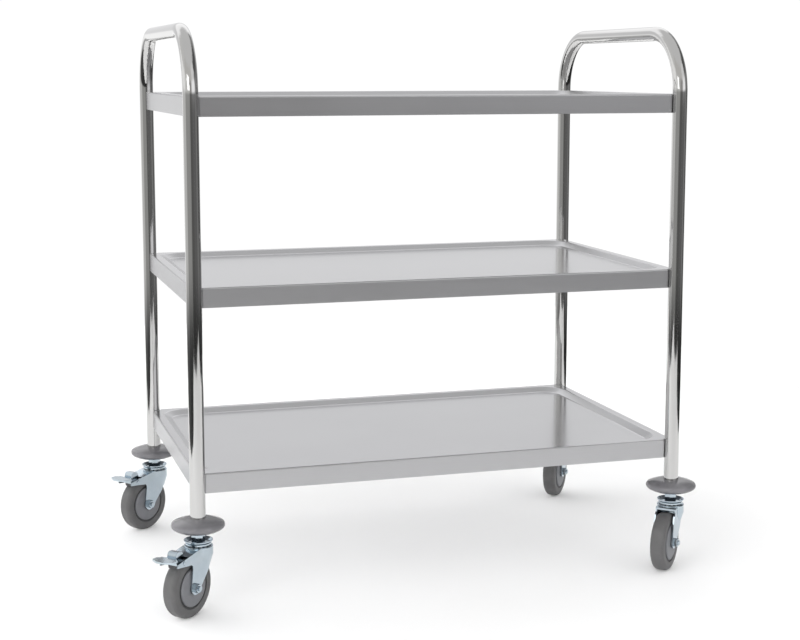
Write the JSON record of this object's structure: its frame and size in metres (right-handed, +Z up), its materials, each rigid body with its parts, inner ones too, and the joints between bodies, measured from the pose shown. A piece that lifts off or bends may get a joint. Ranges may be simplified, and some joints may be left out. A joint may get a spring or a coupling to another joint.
{
  "type": "serving trolley",
  "caption": "Stainless-steel serving trolley with tiered pressed tray shelves, bent-tube end frames that form the push handles, grey bumper discs and swivel castors, some with foot brakes.",
  "frame": {"origin": "on the floor, midway between the four legs", "axes": "+X along the length towards the right end (the braked castors are at -X), +Y to the back, +Z up"},
  "size_m": [0.9644, 0.6255, 0.94],
  "materials": {
    "polished_tube": "mirror-polished stainless steel",
    "satin_sheet": "satin-brushed stainless sheet",
    "zinc_plate": "bright zinc plate",
    "plain_steel": "plain machined steel",
    "bumper_rubber": "semi-gloss moulded grey rubber",
    "grey_tyre": "matt grey non-marking rubber",
    "grey_cap": "moulded grey plastic",
    "dark_hub": "moulded black plastic"
  },
  "bodies": {
    "frame": {"left_frame_tube": "polished_tube", "right_frame_tube": "polished_tube", "top_shelf": "satin_sheet", "middle_shelf": "satin_sheet", "bottom_shelf": "satin_sheet", "shelf_corner_saddles": "plain_steel", "shelf_bolts": "plain_steel", "tube_threaded_inserts": "plain_steel", "leg_plugs": "plain_steel", "castor_stems": "zinc_plate", "front_left_bumper": "bumper_rubber", "front_left_castor_cup": "zinc_plate", "back_left_bumper": "bumper_rubber", "back_left_castor_cup": "zinc_plate", "front_right_bumper": "bumper_rubber", "front_right_castor_cup": "zinc_plate", "back_right_bumper": "bumper_rubber", "back_right_castor_cup": "zinc_plate"},
    "front_left_pedal": {"front_left_brake_pedal": "zinc_plate", "front_left_brake_shoe": "dark_hub"},
    "front_left_swivel": {"front_left_fork": "zinc_plate", "front_left_swivel_balls": "plain_steel", "front_left_axle_bolt": "zinc_plate", "front_left_axle_nut": "zinc_plate", "front_left_axle_bush": "plain_steel", "front_left_brake_pin": "zinc_plate"},
    "front_left_wheel": {"front_left_tyre": "grey_tyre", "front_left_wheel_hub": "dark_hub", "front_left_hub_caps": "grey_cap"},
    "back_left_pedal": {"back_left_brake_pedal": "zinc_plate", "back_left_brake_shoe": "dark_hub"},
    "back_left_swivel": {"back_left_fork": "zinc_plate", "back_left_swivel_balls": "plain_steel", "back_left_axle_bolt": "zinc_plate", "back_left_axle_nut": "zinc_plate", "back_left_axle_bush": "plain_steel", "back_left_brake_pin": "zinc_plate"},
    "back_left_wheel": {"back_left_tyre": "grey_tyre", "back_left_wheel_hub": "dark_hub", "back_left_hub_caps": "grey_cap"},
    "front_right_swivel": {"front_right_fork": "zinc_plate", "front_right_swivel_balls": "plain_steel", "front_right_axle_bolt": "zinc_plate", "front_right_axle_nut": "zinc_plate", "front_right_axle_bush": "plain_steel"},
    "front_right_wheel": {"front_right_tyre": "grey_tyre", "front_right_wheel_hub": "dark_hub", "front_right_hub_caps": "grey_cap"},
    "back_right_swivel": {"back_right_fork": "zinc_plate", "back_right_swivel_balls": "plain_steel", "back_right_axle_bolt": "zinc_plate", "back_right_axle_nut": "zinc_plate", "back_right_axle_bush": "plain_steel"},
    "back_right_wheel": {"back_right_tyre": "grey_tyre", "back_right_wheel_hub": "dark_hub", "back_right_hub_caps": "grey_cap"}
  },
  "joints": [
    {"name": "front_left_swivel", "type": "hinge", "parent": "frame", "child": "front_left_swivel", "pos_m": [-0.4175, -0.2525, 0.1105], "axis": [0, 0, 1], "continuous": true},
    {"name": "front_left_wheel_spin", "type": "hinge", "parent": "front_left_swivel", "child": "front_left_wheel", "pos_m": [-0.4401, -0.27372, 0.05], "axis": [0.6845, -0.729, 0], "continuous": true},
    {"name": "front_left_brake_press", "type": "hinge", "parent": "front_left_swivel", "child": "front_left_pedal", "pos_m": [-0.46124, -0.29357, 0.0985], "axis": [0.6845, -0.729, 0], "range_deg": [0, 15]},
    {"name": "back_left_swivel", "type": "hinge", "parent": "frame", "child": "back_left_swivel", "pos_m": [-0.4175, 0.2525, 0.1105], "axis": [0, 0, 1], "continuous": true},
    {"name": "back_left_wheel_spin", "type": "hinge", "parent": "back_left_swivel", "child": "back_left_wheel", "pos_m": [-0.44258, 0.23428, 0.05], "axis": [0.5878, -0.809, 0], "continuous": true},
    {"name": "back_left_brake_press", "type": "hinge", "parent": "back_left_swivel", "child": "back_left_pedal", "pos_m": [-0.46604, 0.21723, 0.0985], "axis": [0.5878, -0.809, 0], "range_deg": [0, 15]},
    {"name": "front_right_swivel", "type": "hinge", "parent": "frame", "child": "front_right_swivel", "pos_m": [0.4175, -0.2525, 0.1105], "axis": [0, 0, 1], "continuous": true},
    {"name": "front_right_wheel_spin", "type": "hinge", "parent": "front_right_swivel", "child": "front_right_wheel", "pos_m": [0.39636, -0.27517, 0.05], "axis": [0.7314, -0.682, 0], "continuous": true},
    {"name": "back_right_swivel", "type": "hinge", "parent": "frame", "child": "back_right_swivel", "pos_m": [0.4175, 0.2525, 0.1105], "axis": [0, 0, 1], "continuous": true},
    {"name": "back_right_wheel_spin", "type": "hinge", "parent": "back_right_swivel", "child": "back_right_wheel", "pos_m": [0.3982, 0.22824, 0.05], "axis": [0.7826, -0.6225, 0], "continuous": true}
  ]
}
